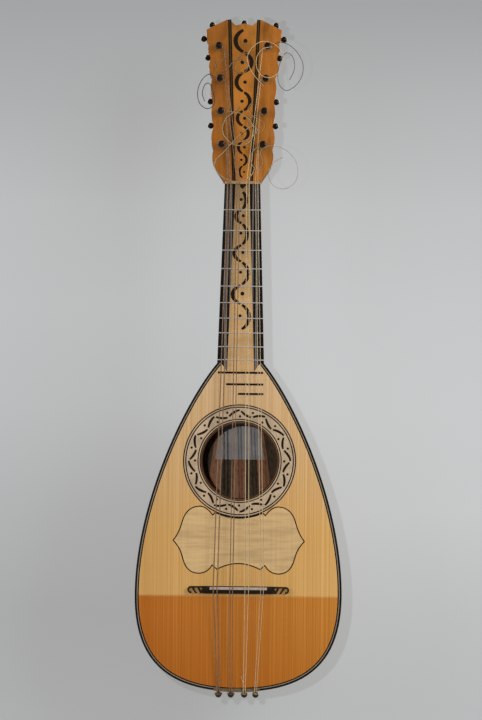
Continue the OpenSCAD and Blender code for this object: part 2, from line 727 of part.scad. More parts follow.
// the flat oval grip behind a peg's collar, with its waist and end knob
module grip() {
    translate([-grip_t / 2, collar_y + collar_t, 0]) rotate([90, 0, 90]) linear_extrude(grip_t) {
        translate([-0.5, -2.2]) square([6, 4.4]);
        intersection() {
            translate([11, 0]) circle(7.5);
            translate([3, -7.2]) square([15.2, 14.4]);
        }
        translate([18.4, 0]) circle(1.8);
    }
}

module winding(i) {
    p = PEGS[i - 1];
    r = STRINGS[i - 1][3];
    color("#b9b2a2") in_frame() leaning() translate([p[0], -winding_at, up_head(p[1])]) rotate([90, 0, 0])
        difference() {
            cylinder(h = 2 * r * winding_turns, r = peg_r + 2 * r);
            translate([0, 0, -1]) cylinder(h = 2 * r * winding_turns + 2, r = peg_r);
        }
}

// ---------------------------------------------------------------- bridge, pins and strings

bridge_z = -345.2;           // the bridge's middle line
bridge_w = 6.5;
block_half = 28.5;
saddle_half = 24.4;
saddle_z = [-345.1, -342.7];
wing_h = 3;

// one carved scroll end: a curl, two slanting leaves and the arm that joins them
module scroll() {
    translate([0, bridge_z]) {
        difference() {
            translate([40.2, 0]) circle(3.1, $fn = 40);
            translate([40.2, 0]) circle(1.5, $fn = 40);
            translate([35.6, -3.4]) square([4.2, 3.2]);
        }
        polygon([[38.6, 2.6], [39.8, 1.7], [36.6, -3], [34.8, -3]]);
        polygon([[33.4, 2.9], [35.4, 2.9], [32.6, -3], [28, -3.1], [28, 1.3], [30.4, 1.4], [31.6, -0.6]]);
        polygon([[28, 3.2], [28, 1.2], [33, 1.8], [40.2, 1.7], [40.2, 3]]);
    }
}

module bridge() {
    color("#1f1813") in_frame() difference() {
        union() {
            plate_across([[-0.02, bridge_z - bridge_w / 2], [-0.02, bridge_z + bridge_w / 2],
                [-5.6, bridge_z + bridge_w / 2], [-5.6, bridge_z - 0.4], [-2.6, bridge_z - bridge_w / 2]],
                block_half);
            plate(-wing_h, -0.02) {
                scroll();
                mirror([1, 0]) scroll();
            }
        }
        translate([-saddle_half - glue, -10, saddle_z[0] - glue])
            cube([2 * (saddle_half + glue), 6, saddle_z[1] - saddle_z[0] + 2 * glue]);
    }
}

module bridge_saddle() {
    color("#d9cfba") in_frame() translate([-saddle_half, -bridge_h, saddle_z[0]])
        cube([2 * saddle_half, bridge_h - 4, saddle_z[1] - saddle_z[0]]);
}

module hitch_pins() {
    color("#5a553c") in_frame() for (x = PINS) translate([x, pin_y, pin_z]) {
        sphere(pin_r, $fn = 32);
        cylinder(h = 12, r = 1);
    }
}

// the route of string i: pin, guard, saddle, nut, and the side of its peg
function string_route(i) = let (s = STRINGS[i], r = s[3], p = PEGS[i], side = p[0] < 0 ? 1 : -1,
    n_y = -nut_h - r - 0.03, n_z = 1.2,
    n = [s[0], n_y * sin(head_tilt) + n_z * cos(head_tilt)], c = [p[0], up_head(p[1])],
    reach = peg_r + 2 * r + r + string_gap, far = norm(n - c),
    a = atan2(n[1] - c[1], n[0] - c[0]) + side * acos(reach / far))
    [[s[2] * 1.02, 21.4, pin_z - 1], [s[2] * 1.01, 17.5, -tail_z - 1.9],
     [s[2], bend(-tail_z) - 0.9 - r, -tail_z - 0.2 - r], [s[1], -bridge_h - r - 0.03, -343.9],
     [s[0], n_y, n_z],
     on_head([c[0] + reach * cos(a), -winding_at - 1.5 * r, c[1] + reach * sin(a)])];

module course(first) {
    in_frame() for (i = [first, first + 1]) tube(string_route(i), STRINGS[i][3], [1, 0, 0]);
}

module strings_g() {
    color("#8a6f52") course(0);
}

module strings_d() {
    color("#94795c") course(2);
}

module strings_e() {
    color("#d8c7a4") course(4);
}

module strings_a() {
    color("#d8c7a4") course(6);
}

module tail(i) {
    color("#d8c7a4") in_frame() tube(smooth(TAILS[i - 1], 2), STRINGS[i - 1][3], [0, 1, 0]);
}

soundboard();
rosette_light_rings();
rosette_dark_rings();
rosette_wave();
scratchplate();
scratchplate_line();
binding_dark();
binding_light();
rim_band();
neck_block();
tail_block();
braces();
rim_liner();
label();
bowl_ribs_dark();
bowl_ribs_brown();
neck();
head();
head_stripes();
head_wave();
head_studs();
fingerboard_centre();
fingerboard_edges();
fingerboard_wave();
nut();
frets();
top_frets();
bridge();
bridge_saddle();
hitch_pins();
edge_guard();
peg(1);  // peg_1
peg(2);  // peg_2
peg(3);  // peg_3
peg(4);  // peg_4
peg(5);  // peg_5
peg(6);  // peg_6
peg(7);  // peg_7
peg(8);  // peg_8
winding(1);  // winding_1
winding(2);  // winding_2
winding(3);  // winding_3
winding(4);  // winding_4
winding(5);  // winding_5
winding(6);  // winding_6
winding(7);  // winding_7
winding(8);  // winding_8
strings_g();
strings_d();
strings_a();
strings_e();
tail(1);  // tail_1
tail(2);  // tail_2
tail(3);  // tail_3
tail(4);  // tail_4
tail(5);  // tail_5
tail(6);  // tail_6
tail(7);  // tail_7
tail(8);  // tail_8
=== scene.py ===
"""Looks of a round-backed mandolin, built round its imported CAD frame."""

import json
import math

import bmesh
import bpy
from mathutils import Matrix, Vector


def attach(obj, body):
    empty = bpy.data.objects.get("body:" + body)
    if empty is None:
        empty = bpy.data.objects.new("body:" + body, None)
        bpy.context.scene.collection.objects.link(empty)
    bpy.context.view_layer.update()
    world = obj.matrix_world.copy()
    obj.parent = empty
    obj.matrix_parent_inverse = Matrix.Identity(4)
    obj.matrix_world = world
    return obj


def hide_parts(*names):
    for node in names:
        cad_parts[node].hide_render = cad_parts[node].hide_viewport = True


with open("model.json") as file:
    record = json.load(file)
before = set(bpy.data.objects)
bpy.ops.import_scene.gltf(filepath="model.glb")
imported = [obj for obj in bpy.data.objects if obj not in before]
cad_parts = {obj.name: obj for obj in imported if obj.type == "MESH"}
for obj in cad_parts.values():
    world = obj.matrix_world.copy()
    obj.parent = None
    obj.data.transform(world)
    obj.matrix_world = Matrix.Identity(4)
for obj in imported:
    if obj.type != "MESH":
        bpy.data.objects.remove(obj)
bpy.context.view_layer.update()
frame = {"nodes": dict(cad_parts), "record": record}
scene = bpy.context.scene
scene.view_settings.view_transform = "Standard"

# ------------------------------------------------------------------ the design frame
# Points below are millimetres in the design frame, as in the CAD source: y = 0 is the
# fingerboard's plane, z = 0 its upper end. place() turns them into the row frame's metres.

TILT = math.radians(10)      # of the head, and of the soundboard behind its bend
HEAD_T = 12                  # the head's thickness
STUD_S = 140.3               # how far up the head the top stud is
HOLE_Z = -235.5              # the soundhole's centre
BEND_Z = -350.6              # the soundboard's bend
NUT_HALF, JOINT_HALF = 15.1, 19.9        # the fingerboard's half widths at the nut and at the body
JOINT_Z = -152.5             # where the neck meets the body
STRIPES_Z = (2.6, 140.2)     # the ends of the head's two stripes


def on_head(x, y, s):
    return Vector((x, y * math.cos(TILT) + s * math.sin(TILT),
                   -y * math.sin(TILT) + s * math.cos(TILT)))


HANGING = on_head(0, HEAD_T / 2, STUD_S)


def place(p):
    return (Vector(p) - HANGING) / 1000


def up_head(z):
    return z / math.cos(TILT)


def lerp(a, b, t):
    return a + (b - a) * t


def cubic(p, t):
    s = 1 - t
    return [s ** 3 * p[0][k] + 3 * s * s * t * p[1][k] + 3 * s * t * t * p[2][k]
            + t ** 3 * p[3][k] for k in range(2)]


def catmull(points, parts):
    """A smooth line through the points, with parts steps between each two."""
    last = len(points) - 1
    out = []
    for i in range(last):
        a, b, c, d = (Vector(points[k]) for k in (max(i - 1, 0), i, i + 1, min(i + 2, last)))
        for k in range(parts):
            t = k / parts
            out.append(0.5 * (2 * b + (c - a) * t + (2 * a - 5 * b + 4 * c - d) * t * t
                              + (3 * b - a - 3 * c + d) * t ** 3))
    return out + [Vector(points[last])]


# ------------------------------------------------------------------ camera

PICTURE_H = 0.612            # height of the view at the fingerboard's plane, metres
CAMERA_FAR = 12.0            # from that plane, metres
CAMERA_AT = (0.0003, -0.2868)
CAMERA_ROLL = math.radians(0.609)
SENSOR = 36

camera = bpy.data.objects.new("camera", bpy.data.cameras.new("camera"))
scene.collection.objects.link(camera)
camera.data.sensor_width = SENSOR
camera.data.lens = SENSOR * CAMERA_FAR / PICTURE_H
camera.data.clip_end = 60
roll_cos, roll_sin = math.cos(CAMERA_ROLL), math.sin(CAMERA_ROLL)
camera.matrix_world = Matrix((
    (roll_cos, -roll_sin, 0, CAMERA_AT[0]), (0, 0, -1, -CAMERA_FAR - HANGING.y / 1000),
    (roll_sin, roll_cos, 0, CAMERA_AT[1]), (0, 0, 0, 1)))
scene.camera = camera

# ------------------------------------------------------------------ materials


class Nodes:
    """A short way to write a material's node tree."""

    def __init__(self, name):
        self.mat = bpy.data.materials.new(name)
        self.mat.use_nodes = True
        self.tree = self.mat.node_tree
        self.bsdf = self.tree.nodes["Principled BSDF"]
        self.coords = self.new("ShaderNodeTexCoord").outputs["Object"]

    def new(self, kind, **values):
        node = self.tree.nodes.new(kind)
        for key, value in values.items():
            setattr(node, key, value)
        return node

    def link(self, a, b):
        self.tree.links.new(a, b)

    def mapped(self, scale, offset):
        node = self.new("ShaderNodeMapping")
        node.inputs["Scale"].default_value = scale
        node.inputs["Location"].default_value = offset
        self.link(self.coords, node.inputs["Vector"])
        return node.outputs["Vector"]

    def noise(self, scale, detail, rough, distortion=0.0, offset=(0, 0, 0)):
        """Noise stretched by scale, which is three numbers per metre."""
        node = self.new("ShaderNodeTexNoise")
        node.inputs["Scale"].default_value = 1
        node.inputs["Detail"].default_value = detail
        node.inputs["Roughness"].default_value = rough
        node.inputs["Distortion"].default_value = distortion
        self.link(self.mapped(scale, offset), node.inputs["Vector"])
        return node.outputs["Fac"]

    def ramp(self, value, stops):
        """stops: (position, number or colour)."""
        node = self.new("ShaderNodeValToRGB")
        band = node.color_ramp
        while len(band.elements) < len(stops):
            band.elements.new(0.5)
        for element, (at, colour) in zip(band.elements, stops):
            element.position = at
            element.color = (*colour, 1) if hasattr(colour, "__len__") else (colour,) * 3 + (1,)
        self.link(value, node.inputs["Fac"])
        return node.outputs["Color"]

    def mix(self, share, a, b, how="MIX"):
        node = self.new("ShaderNodeMix", data_type="RGBA", blend_type=how)
        for socket, value in ((0, share), (6, a), (7, b)):
            if isinstance(value, bpy.types.NodeSocket):
                self.link(value, node.inputs[socket])
            elif socket == 0:
                node.inputs[0].default_value = value
            else:
                node.inputs[socket].default_value = (*value, 1)
        return node.outputs[2]

    def times(self, a, b):
        """The product of two colours."""
        return self.mix(1.0, a, b, "MULTIPLY")

    def maths(self, how, a, b=0.0):
        node = self.new("ShaderNodeMath", operation=how)
        for k, value in enumerate((a, b)):
            if isinstance(value, bpy.types.NodeSocket):
                self.link(value, node.inputs[k])
            else:
                node.inputs[k].default_value = value
        return node.outputs[0]

    def axis(self, letter):
        node = self.new("ShaderNodeSeparateXYZ")
        self.link(self.coords, node.inputs[0])
        return node.outputs[letter]

    def aside(self):
        """How far a point is from the middle plane, in mm."""
        return self.maths("MULTIPLY", self.maths("ABSOLUTE", self.axis("X")), 1000.0)

    def span(self, letter, start, end, low=0.0, high=1.0):
        """A number that runs from low to high between two design positions along an axis, in mm."""
        node = self.new("ShaderNodeMapRange")
        self.link(self.axis(letter), node.inputs["Value"])
        away = HANGING["XYZ".index(letter)]
        node.inputs["From Min"].default_value = (start - away) / 1000
        node.inputs["From Max"].default_value = (end - away) / 1000
        node.inputs["To Min"].default_value = low
        node.inputs["To Max"].default_value = high
        return node.outputs[0]

    def from_hole(self):
        """How far a point is from the soundhole's centre, in units of 100 mm."""
        node = self.new("ShaderNodeVectorMath", operation="DISTANCE")
        flat = self.new("ShaderNodeVectorMath", operation="MULTIPLY")
        self.link(self.coords, flat.inputs[0])
        flat.inputs[1].default_value = (10, 0, 10)
        self.link(flat.outputs[0], node.inputs[0])
        node.inputs[1].default_value = (0, 0, (HOLE_Z - HANGING.z) / 100)
        return node.outputs["Value"]

    def colour(self, socket):
        self.link(socket, self.bsdf.inputs["Base Color"])

    def rough(self, socket, low, high):
        node = self.new("ShaderNodeMapRange")
        self.link(socket, node.inputs["Value"])
        node.inputs["To Min"].default_value = low
        node.inputs["To Max"].default_value = high
        self.link(node.outputs[0], self.bsdf.inputs["Roughness"])

    def bump(self, socket, depth, strength=0.5):
        node = self.new("ShaderNodeBump")
        node.inputs["Strength"].default_value = strength
        node.inputs["Distance"].default_value = depth
        self.link(socket, node.inputs["Height"])
        self.link(node.outputs[0], self.bsdf.inputs["Normal"])

    def set(self, **values):
        for key, value in values.items():
            self.bsdf.inputs[key.replace("_", " ")].default_value = value
        return self.mat


def grey(v):
    return (v, v, v)


def tinted(colour, factor):
    return tuple(min(1, x * factor) for x in colour)


def wood(name, colour, grain, contrast, fleck, rough, coat):
    """Straight-grained varnished wood: fine lines, broad tone changes and pores."""
    n = Nodes(name)
    lines = n.noise(grain, 5, 0.65, 0.25)
    broad = n.noise((22, 22, 3), 3, 0.5, 0.4, (3, 1, 2))
    pores = n.noise((grain[0] * 2.6, grain[1] * 2.6, grain[2] * 14), 2, 0.5, 0, (1, 5, 2))
    tone = n.ramp(lines, [(0.36, tinted(colour, 1 - contrast)), (0.5, colour),
                          (0.66, tinted(colour, 1 + contrast * 0.55))])
    tone = n.mix(n.ramp(broad, [(0.3, 0.0), (0.7, 1.0)]), tone,
                 n.times(tone, tinted((1, 0.93, 0.84), 1 - fleck)))
    tone = n.mix(n.ramp(pores, [(0.62, 0.0), (0.75, 0.35)]), tone, tinted(colour, 0.35))
    n.colour(tone)
    n.rough(lines, *rough)
    n.bump(lines, 0.00004)
    return n.set(Coat_Weight=coat, Coat_Roughness=0.12, Specular_IOR_Level=0.22)


def spruce():
    """Soundboard: close straight grain, silk, and a deeper orange below the bend; painted sheen near
    the rosette and painted light towards the right.
    """
    n = Nodes("spruce")
    fine = n.noise((1050, 0, 1.8), 2, 0.6, 0.02)
    wide = n.noise((260, 0, 1.4), 3, 0.5, 0.05, (4, 0, 1))
    silk = n.noise((60, 0, 420), 3, 0.6, 0.3, (0, 2, 7))
    broad = n.noise((9, 9, 5), 3, 0.5, 0.6, (2, 7, 5))
    lines = n.mix(0.16, fine, wide)
    upper = n.ramp(lines, [(0.28, (0.46, 0.240, 0.070)), (0.49, (0.57, 0.322, 0.103)),
                           (0.70, (0.67, 0.41, 0.16))])
    lower = n.ramp(lines, [(0.32, (0.37, 0.114, 0.011)), (0.5, (0.475, 0.151, 0.019)),
                           (0.66, (0.57, 0.215, 0.040))])
    # painted sheen: the upper soundboard is paler and greyer towards its top end round the rosette, a
    # painted reflection of the lamps in the varnish
    painted_sheen = n.span("Z", -300, -170)
    upper = n.mix(n.maths("MULTIPLY", painted_sheen, 0.8), upper, n.times(upper, (1.0, 1.2, 2.1)))
    deep = n.span("Z", -365, -425)
    lower = n.mix(deep, lower, n.times(lower, (0.88, 0.78, 0.62)))
    # painted light: the soundboard below the bend is lighter and yellower towards the right, where the
    # window light falls
    lower = n.mix(n.span("X", -80, 80), n.times(lower, (0.96, 0.92, 0.88)),
                  n.times(lower, (1.03, 1.24, 1.5)))
    tone = n.mix(n.span("Z", BEND_Z + 1.4, BEND_Z - 1), upper, lower)
    tone = n.mix(n.ramp(silk, [(0.35, 0.0), (0.75, 0.25)]), tone,
                 n.times(tone, grey(1.12)))
    tone = n.mix(n.ramp(broad, [(0.32, 0.3), (0.6, 0.0)]), tone,
                 n.times(tone, (0.86, 0.8, 0.7)))
    # painted light: the whole soundboard brighter towards the right
    tone = n.times(tone, n.span("X", -80, 80, 0.95, 1.09))
    tone = n.mix(n.ramp(n.from_hole(), [(0.328, 1.0), (0.331, 0.0)]), tone, (0.05, 0.02, 0.01))
    n.colour(tone)
    n.rough(fine, 0.34, 0.46)
    n.bump(lines, 0.00003, 0.4)
    return n.set(Coat_Weight=0.12, Coat_Roughness=0.12, Specular_IOR_Level=0.2)


def flamed(name, colour, flame, across, rough, side=0.0, knots=0.0, shade=None, panel=None, foot=None):
    """Figured maple: soft bands across the grain over faint lines along it.

    side: how much brighter it gets towards the right, which is painted light from that side; knots: how
    much its specks show; shade: a change of brightness along Z, as for span(); panel: a tint between
    the head's stripes; foot: a tint for the right of the head's lower end."""
    n = Nodes(name)
    bands = n.noise(across, 2, 0.45, 0.5, (5, 2, 3))
    ripple = n.noise((across[0] * 3, across[1] * 3, across[2] * 2.5), 2, 0.5, 0.4, (1, 1, 8))
    lines = n.noise((520, 0, 9), 4, 0.6, 0.2)
    both = n.mix(0.35, bands, ripple)
    tone = n.ramp(both, [(0.36, tinted(colour, 1 - flame)), (0.5, colour),
                         (0.64, tinted(colour, 1 + flame * 0.7))])
    tone = n.mix(n.ramp(lines, [(0.4, 0.35), (0.6, 0.0)]), tone,
                 n.times(tone, (0.82, 0.74, 0.66)))
    # painted light: brighter towards the right, the side the window light comes from
    if side:
        tone = n.times(tone, n.span("X", -33, 33, 1 - side, 1 + side))
    if panel:
        from_edge = n.maths("SUBTRACT", n.span("Z", *STRIPES_Z, 6.6, 11.4), n.aside())
        inside = n.ramp(n.maths("ADD", from_edge, 0.5), [(0.3, 0.0), (0.7, 1.0)])
        tone = n.mix(inside, tone, n.times(tone, panel))
    if foot:
        low_right = n.maths("MULTIPLY", n.span("Z", 62, 8), n.span("X", -4, 22))
        tone = n.mix(low_right, tone, n.times(tone, foot))
    if shade:
        tone = n.times(tone, n.span("Z", *shade))
    if knots:
        specks = n.noise((300, 0, 45), 3, 0.7, 0.8, (9, 9, 9))
        tone = n.mix(n.ramp(specks, [(0.6, 0.0), (0.74, knots)]), tone, tinted(colour, 0.4))
    n.colour(tone)
    n.rough(both, *rough)
    n.bump(lines, 0.00003, 0.4)
    return n.set(Coat_Weight=0.15, Coat_Roughness=0.12, Specular_IOR_Level=0.2)


def striped():
    """The fingerboard's side panels: black wood with grey and brown stripes, mirrored."""
    n = Nodes("board_ebony")
    both_sides = n.new("ShaderNodeVectorMath", operation="ABSOLUTE")
    n.link(n.coords, both_sides.inputs[0])
    n.coords = both_sides.outputs[0]
    stripes = n.noise((900, 0, 1.2), 3, 0.6, 0.0, (0.4, 0, 0))
    fine = n.noise((1900, 0, 9), 2, 0.5, 0.0, (3, 0, 0))
    both = n.mix(0.25, stripes, fine)
    tone = n.ramp(both, [(0.40, (0.006, 0.005, 0.0045)), (0.515, (0.010, 0.008, 0.007)),
                         (0.54, (0.10, 0.092, 0.086)), (0.59, (0.20, 0.185, 0.17)),
                         (0.66, (0.12, 0.088, 0.063))])
    half = n.span("Z", 0, JOINT_Z, NUT_HALF, JOINT_HALF)
    edge = n.ramp(n.maths("SUBTRACT", half, n.aside()), [(0.75, 1.0), (1.0, 0.0)])
    n.colour(n.mix(edge, tone, (0.008, 0.0065, 0.006)))
    n.rough(both, 0.3, 0.42)
    n.bump(fine, 0.00003, 0.4)
    return n.set(Specular_IOR_Level=0.2, Coat_Weight=0.05, Coat_Roughness=0.15)


def plain(name, colour, rough, mottle, scale, coat, metal=0.0):
    """Bone, horn, metal, paper or gut: a mottled tone with fine wear in the gloss."""
    n = Nodes(name)
    spots = n.noise((scale, scale, scale), 4, 0.6, 0.3)
    wear = n.noise((scale * 5, scale * 5, scale * 5), 3, 0.6, 0.0, (3, 3, 1))
    tone = n.ramp(spots, [(0.32, tinted(colour, 1 - mottle)), (0.52, colour),
                          (0.7, tinted(colour, 1 + mottle * 0.6))])
    n.colour(n.mix(n.ramp(wear, [(0.5, 0.0), (0.8, 0.3)]), tone, tinted(colour, 0.7)))
    n.rough(wear, *rough)
    n.bump(wear, 0.00002, 0.4)
    return n.set(Metallic=metal, Coat_Weight=coat, Coat_Roughness=0.12, Specular_IOR_Level=0.3)


def lined_stripe():
    """The head's stripes: dark wood on both sides of an olive line."""
    n = Nodes("lined_stripe")
    middle_line = n.span("Z", *STRIPES_Z, 7.4, 12.4)
    off = n.maths("ABSOLUTE", n.maths("SUBTRACT", n.aside(), middle_line))
    grain = n.noise((700, 0, 14), 3, 0.6)
    olive = n.ramp(grain, [(0.35, (0.036, 0.023, 0.008)), (0.65, (0.075, 0.047, 0.015))])
    n.colour(n.mix(n.ramp(off, [(0.22, 1.0), (0.5, 0.0)]), (0.012, 0.007, 0.004), olive))
    n.rough(grain, 0.32, 0.5)
    return n.set(Specular_IOR_Level=0.2)


MATS = {
    "spruce": spruce(),
    "board_ebony": striped(),
    "lined_stripe": lined_stripe(),
}
# name, colour, grain per metre, contrast, flecks, roughness, coat
for row in (
        ("dark_inlay", (0.016, 0.008, 0.005), (900, 900, 60), 0.35, 0.3, (0.32, 0.5), 0.05),
        ("ebony", (0.010, 0.0065, 0.004), (900, 900, 30), 0.5, 0.3, (0.26, 0.42), 0.2),
        ("bridge_ebony", (0.030, 0.0195, 0.0138), (60, 900, 900), 0.5, 0.3, (0.3, 0.45), 0.1),
        ("pale_line", (0.265, 0.235, 0.195), (900, 900, 20), 0.2, 0.2, (0.35, 0.5), 0.05),
        ("rosewood", (0.055, 0.034, 0.02), (420, 420, 8), 0.55, 0.25, (0.24, 0.36), 0.4),
        # the bowl's inside: lighter as bare wood, and also with painted light standing for the lamp
        # light that falls in through the soundhole
        ("rosewood_inside", (0.117, 0.088, 0.064), (420, 420, 8), 0.4, 0.25, (0.5, 0.6), 0),
        ("brown_inside", (0.46, 0.225, 0.135), (420, 420, 8), 0.3, 0.25, (0.5, 0.6), 0),
        ("brown_rib", (0.165, 0.078, 0.038), (420, 420, 8), 0.35, 0.25, (0.24, 0.36), 0.4),
        ("inner_wood", (0.42, 0.27, 0.13), (500, 500, 6), 0.25, 0.2, (0.55, 0.7), 0.0),
        ("neck_wood", (0.27, 0.125, 0.045), (380, 380, 6), 0.3, 0.25, (0.26, 0.38), 0.4),
        ("peg_wood", (0.012, 0.007, 0.006), (700, 90, 700), 0.5, 0.3, (0.24, 0.36), 0.2)):
    MATS[row[0]] = wood(*row)
# name, colour, flame, bands per metre, roughness
MATS["ivory_inlay"] = flamed("ivory_inlay", (0.495, 0.378, 0.255), 0.16, (90, 90, 90), (0.3, 0.42))
MATS["guard_maple"] = flamed("guard_maple", (0.59, 0.405, 0.198), 0.15, (24, 24, 240), (0.3, 0.42))
MATS["board_maple"] = flamed("board_maple", (0.53, 0.335, 0.155), 0.16, (26, 26, 60), (0.32, 0.45),
                             shade=(-15, -110, 0.59, 1.09))
# side=0.12 below is painted light, brighter towards the right
MATS["head_maple"] = flamed("head_maple", (0.325, 0.115, 0.0175), 0.3, (60, 60, 24), (0.26, 0.38),
                            side=0.12, knots=0.6, panel=(1.2, 1.3, 1.35), foot=(1.14, 1.24, 1.3))
# name, colour, roughness, mottling, spots per metre, coat, metal
for row in (
        # the saddle's pale grey: its bone, and also a painted highlight of the bridge's sloped crown
        ("saddle_bone", (0.42, 0.335, 0.28), (0.3, 0.45), 0.2, 320, 0.05),
        ("aged_bone", (0.40, 0.245, 0.12), (0.3, 0.45), 0.3, 320, 0.05),
        ("dark_bone", (0.155, 0.105, 0.055), (0.3, 0.45), 0.3, 320, 0.05),
        ("fret_metal", (0.64, 0.63, 0.62), (0.3, 0.45), 0.12, 500, 0.0, 0.35),
        ("pin_horn", (0.045, 0.036, 0.018), (0.2, 0.32), 0.5, 500, 0.4),
        ("label_paper", (0.455, 0.44, 0.448), (0.7, 0.85), 0.22, 90, 0.0),
        ("wound_string", (0.28, 0.175, 0.105), (0.35, 0.5), 0.4, 700, 0.0, 0.2),
        ("worn_gut", (0.38, 0.25, 0.13), (0.35, 0.5), 0.3, 700, 0.05),
        ("dark_wire", (0.09, 0.083, 0.078), (0.35, 0.5), 0.4, 700, 0.0, 0.3),
        ("pale_gut", (0.35, 0.29, 0.225), (0.35, 0.5), 0.25, 700, 0.05),
        ("gut_string", (0.60, 0.465, 0.27), (0.35, 0.5), 0.2, 700, 0.05)):
    MATS[row[0]] = plain(*row)

# nodes whose finish isn't the one that is named after their slot
FINISHES = {"bridge": "bridge_ebony", "bridge_saddle": "saddle_bone", "nut": "aged_bone",
            "edge_guard": "dark_bone", "head_stripes": "lined_stripe"}

for row in frame["record"]["subparts"]:
    mesh = frame["nodes"][row["node"]].data
    mesh.materials.clear()
    mesh.materials.append(MATS[FINISHES.get(row["node"], row["material_slot"])])


def add(name, solid, finish, body="root", stands_for=(), smooth=40):
    """Makes a piece of a body from (points in row metres, faces), in place of some nodes."""
    points, faces = solid
    mesh = bpy.data.meshes.new(name)
    mesh.from_pydata([tuple(p) for p in points], [], faces)
    bm = bmesh.new()
    bm.from_mesh(mesh)
    bmesh.ops.recalc_face_normals(bm, faces=bm.faces)
    for face in bm.faces:
        face.smooth = True
    limit = math.radians(smooth)
    for edge in bm.edges:
        edge.smooth = len(edge.link_faces) == 2 and edge.calc_face_angle(0) < limit
    bm.to_mesh(mesh)
    bm.free()
    piece = bpy.data.objects.new(name, mesh)
    scene.collection.objects.link(piece)
    mesh.materials.append(MATS[finish])
    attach(piece, body)
    if stands_for:
        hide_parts(*stands_for)
    return piece


# ------------------------------------------------------------------ shapes


def loft(rings):
    """One closed solid through rings of points, all with the same count."""
    count = len(rings[0])
    faces = [(i * count + k, i * count + (k + 1) % count,
              (i + 1) * count + (k + 1) % count, (i + 1) * count + k)
             for i in range(len(rings) - 1) for k in range(count)]
    faces.append(tuple(range(count)))
    faces.append(tuple(range((len(rings) - 1) * count, len(rings) * count)))
    return [p for ring in rings for p in ring], faces


def joined(*solids):
    """Several (points, faces) as one."""
    points, faces = [], []
    for more, sides in solids:
        faces += [tuple(k + len(points) for k in face) for face in sides]
        points += more
    return points, faces


def layered(points, rows, cols):
    """A closed shell between two layers of rows times cols points."""
    count = rows * cols

    def at(i, j, layer):
        return layer * count + i * cols + j

    faces = [(at(i, j, k), at(i, j + 1, k), at(i + 1, j + 1, k), at(i + 1, j, k))
             for i in range(rows - 1) for j in range(cols - 1) for k in (0, 1)]
    faces += [(at(i, j, 0), at(i + 1, j, 0), at(i + 1, j, 1), at(i, j, 1))
              for i in range(rows - 1) for j in (0, cols - 1)]
    faces += [(at(i, j, 0), at(i, j + 1, 0), at(i, j + 1, 1), at(i, j, 1))
              for j in range(cols - 1) for i in (0, rows - 1)]
    return points, faces


def tube(line, radius, sides):
    """A round string along points, its frame carried along without twist."""
    line = [Vector(p) for p in line]
    last = len(line) - 1
    along = [(line[min(i + 1, last)] - line[max(i - 1, 0)]).normalized() for i in range(last + 1)]
    side = along[0].orthogonal().normalized()
    rings = []
    for i, p in enumerate(line):
        side = (side - along[i] * side.dot(along[i])).normalized()
        other = along[i].cross(side)
        rings.append([place(p + radius * (side * math.cos(a) + other * math.sin(a)))
                      for a in (2 * math.pi * k / sides for k in range(sides))])
    return loft(rings)


TURNED_SIDES = 32


def turned(profile, origin, axis):
    """A shape turned round an axis: profile is (distance along it, radius)."""
    axis = Vector(axis).normalized()
    side = axis.orthogonal().normalized()
    other = axis.cross(side)
    return loft([[place(Vector(origin) + axis * d + r * (side * math.cos(a) + other * math.sin(a)))
                  for a in (2 * math.pi * k / TURNED_SIDES for k in range(TURNED_SIDES))]
                 for d, r in profile])


def softened(node, width):
    """Rounds the sharp edges of a CAD node that is shown as it is."""
    piece = frame["nodes"][node]
    weld = piece.modifiers.new("weld", "WELD")
    weld.merge_threshold = 0.000002
    bevel = piece.modifiers.new("bevel", "BEVEL")
    bevel.width = width / 1000
    bevel.segments = 2
    bevel.limit_method = "ANGLE"
    bevel.angle_limit = math.radians(40)
    bevel.harden_normals = True


# ------------------------------------------------------------------ bowl

BODY_HALF, TAIL_Z = 88, 432
WIDEST_Z, DEEPEST_Z = -350, -335
TOP_T, HEEL, BOWL = 2.4, 28, 126         # soundboard's thickness, heel's and bowl's depth
RIB_T, BAND_GAP = 1.4, 0.8               # rib's thickness, and how deep it lies under the capping strip
RIBS = 23
UPPER = [[JOINT_HALF, JOINT_Z], [46, -184], [BODY_HALF, -271], [BODY_HALF, WIDEST_Z]]
LOWER = [[BODY_HALF, WIDEST_Z], [BODY_HALF, -403], [63, -TAIL_Z], [0, -TAIL_Z]]


def bend(z):
    return max(0, WIDEST_Z - z) * math.tan(TILT)


def station(u):
    return cubic(UPPER, u) if u <= 1 else cubic(LOWER, u - 1)


def back_y(z):
    if z > DEEPEST_Z:
        t = (z - JOINT_Z) / (DEEPEST_Z - JOINT_Z)
        return TOP_T + HEEL + (BOWL - TOP_T - HEEL) * (1 - max(0, 1 - t) ** 1.9)
    t = min(1, (DEEPEST_Z - z) / (TAIL_Z + DEEPEST_Z))
    rim = TOP_T + bend(-TAIL_Z)
    return rim + (BOWL - rim) * math.sqrt(1 - t * t)


def across(a, b):
    """The direction that faces outwards from a line that runs from a to b."""
    t = Vector((b[0] - a[0], b[1] - a[1])).normalized()
    return -t.y, t.x


def bowl_point(u, v, inwards):
    """A point of the bowl at station u and rib edge v, set in from the outer surface."""
    w, z = station(u)
    e = 0.01
    n = across(station(max(0, u - e)), station(min(2, u + e)))
    a, b = station(max(0, u - e))[1], station(min(1.999, u + e))[1]
    m = across((back_y(a), a), (back_y(b), b))
    turn = math.radians(180 * v / RIBS)
    turn -= math.radians(5) * math.sin(2 * turn)
    c, s = math.cos(turn), math.sin(turn)
    facing = Vector((c * n[0], s * m[0], c * c * n[1] + s * s * m[1])).normalized()
    z_in = z - inwards * facing.z
    depth = back_y(z) - TOP_T - bend(z)
    return Vector((w * c - inwards * facing.x,
                   TOP_T + bend(z_in) + max(0, depth * s - inwards * facing.y), z_in))


